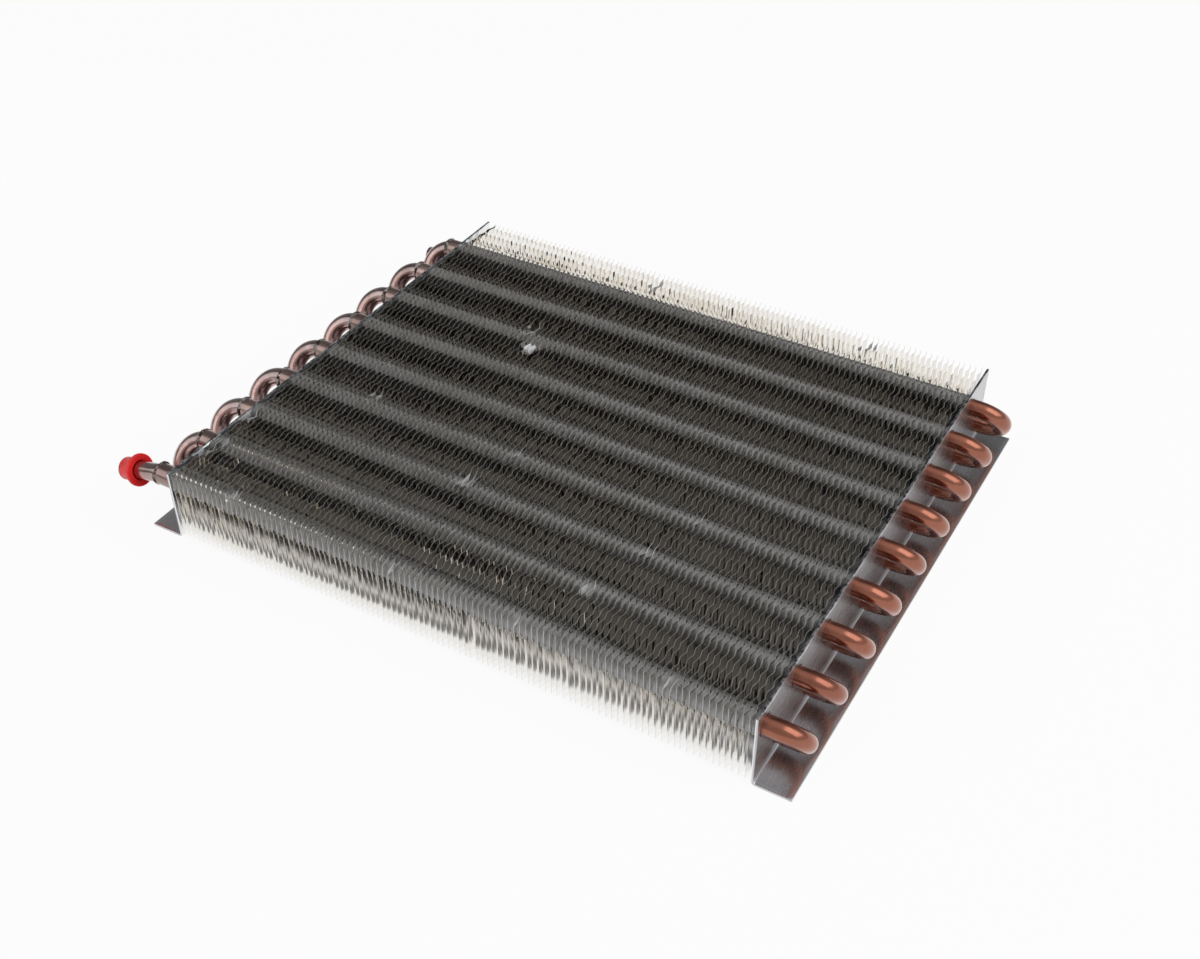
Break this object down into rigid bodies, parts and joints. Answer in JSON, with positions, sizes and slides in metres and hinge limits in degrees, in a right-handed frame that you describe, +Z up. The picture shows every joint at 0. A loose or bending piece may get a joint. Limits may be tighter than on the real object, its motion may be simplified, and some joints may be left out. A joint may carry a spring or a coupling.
{
  "type": "condenser coil",
  "caption": "Finned-tube heat exchanger coil: staggered copper hairpins and return bends through aluminium fins, two flanged steel end plates, a capped inlet stub and a bare outlet stub.",
  "frame": {"origin": "middle of the coil's overall box in X and Y, on the underside of the end plates' flanges", "axes": "+X along the tubes from the pipe end to the hairpin end, +Y from the front edge to the back edge, +Z up from the flanges to the upper row of tubes"},
  "size_m": [0.3817, 0.2863, 0.041],
  "materials": {
    "fins": "thin mill-finish sheet, dulled by dust and handling",
    "end_plates": "galvanised sheet, satin",
    "hairpins": "bright drawn copper",
    "return_bends": "copper, heat-darkened by brazing",
    "stubs": "copper, heat-darkened by brazing",
    "cap": "soft red plastic"
  },
  "bodies": {
    "root": {"fin_pack": "fins", "left_end_plate": "end_plates", "right_end_plate": "end_plates", "hairpin_1": "hairpins", "hairpin_2": "hairpins", "hairpin_3": "hairpins", "hairpin_4": "hairpins", "hairpin_5": "hairpins", "hairpin_6": "hairpins", "hairpin_7": "hairpins", "hairpin_8": "hairpins", "hairpin_9": "hairpins", "return_bend_1": "return_bends", "return_bend_2": "return_bends", "return_bend_3": "return_bends", "return_bend_4": "return_bends", "return_bend_5": "return_bends", "return_bend_6": "return_bends", "return_bend_7": "return_bends", "return_bend_8": "return_bends", "inlet_stub": "stubs", "outlet_stub": "stubs", "inlet_cap": "cap"}
  },
  "joints": []
}
